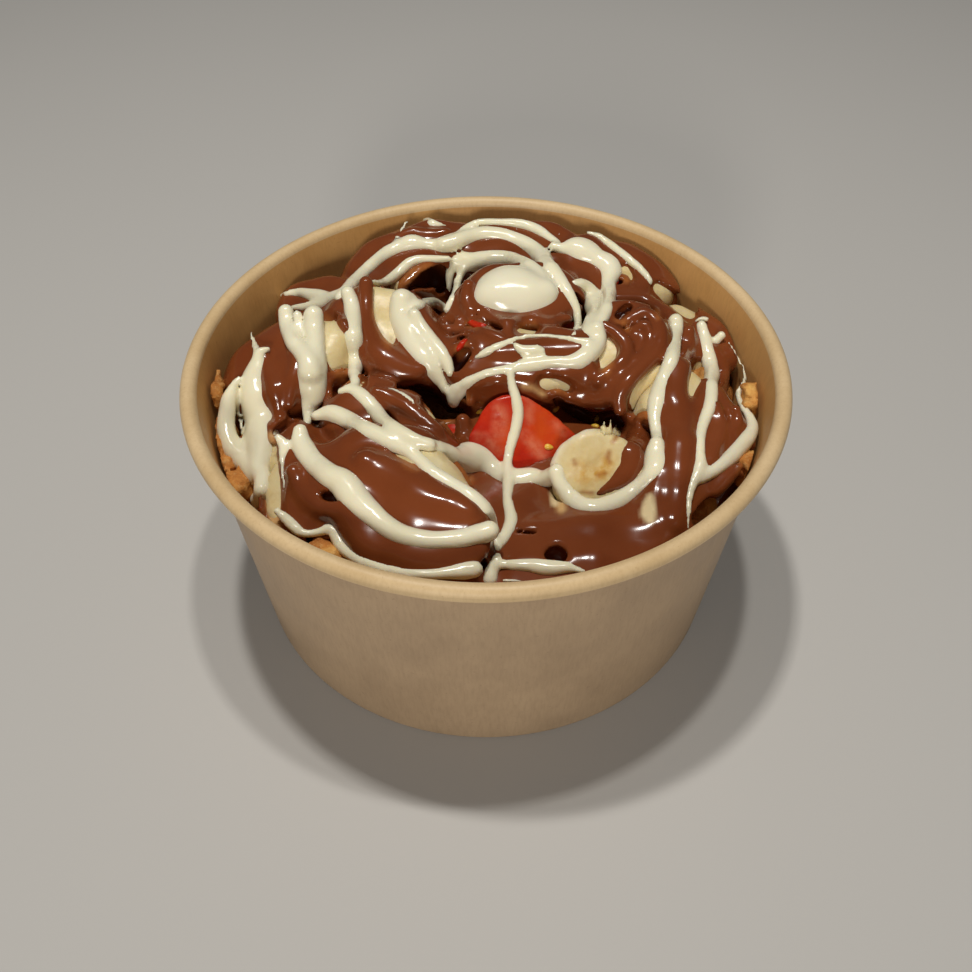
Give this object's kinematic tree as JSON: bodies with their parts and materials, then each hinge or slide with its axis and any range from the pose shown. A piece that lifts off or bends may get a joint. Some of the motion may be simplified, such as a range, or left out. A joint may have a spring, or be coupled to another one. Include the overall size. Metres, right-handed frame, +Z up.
{
  "type": "waffle bowl",
  "caption": "Round kraft paper bowl filled with waffle pieces, banana slices and strawberries under milk chocolate and white chocolate sauce.",
  "frame": {"origin": "centre of the underside of the bowl's foot ring", "axes": "+Z up, out of the bowl's mouth; the pictured side faces -Y and +X is to its right"},
  "size_m": [0.15, 0.15, 0.0792],
  "materials": {
    "kraft_paper": "smooth brown kraft board",
    "banana": "moist cut fruit",
    "strawberry": "wet cut fruit",
    "waffle": "baked crust",
    "milk_chocolate": "glossy sauce",
    "white_chocolate": "glossy sauce"
  },
  "bodies": {
    "root": {"bowl_wall": "kraft_paper", "bowl_base": "kraft_paper", "banana_slice_facing": "banana", "banana_slice_centre": "banana", "banana_slice_crest": "banana", "banana_slice_front": "banana", "banana_slice_front_left": "banana", "banana_slice_mid_left": "banana", "banana_slice_inner_left": "banana", "banana_slice_left": "banana", "banana_slice_left_front": "banana", "banana_slice_left_back": "banana", "banana_slice_back_left": "banana", "banana_slice_back": "banana", "banana_slice_back_right": "banana", "banana_slice_right_back": "banana", "banana_slice_inner_right": "banana", "banana_slice_right": "banana", "banana_slice_right_front": "banana", "strawberry_half_front": "strawberry", "strawberry_piece_left": "strawberry", "strawberry_piece_back": "strawberry", "strawberry_piece_right": "strawberry", "waffle_piece_left": "waffle", "waffle_piece_left_front": "waffle", "waffle_piece_front": "waffle", "waffle_piece_right": "waffle", "waffle_piece_right_front": "waffle", "waffle_bed": "waffle", "chocolate_pool_front": "milk_chocolate", "white_chocolate_drop": "white_chocolate"}
  },
  "joints": []
}
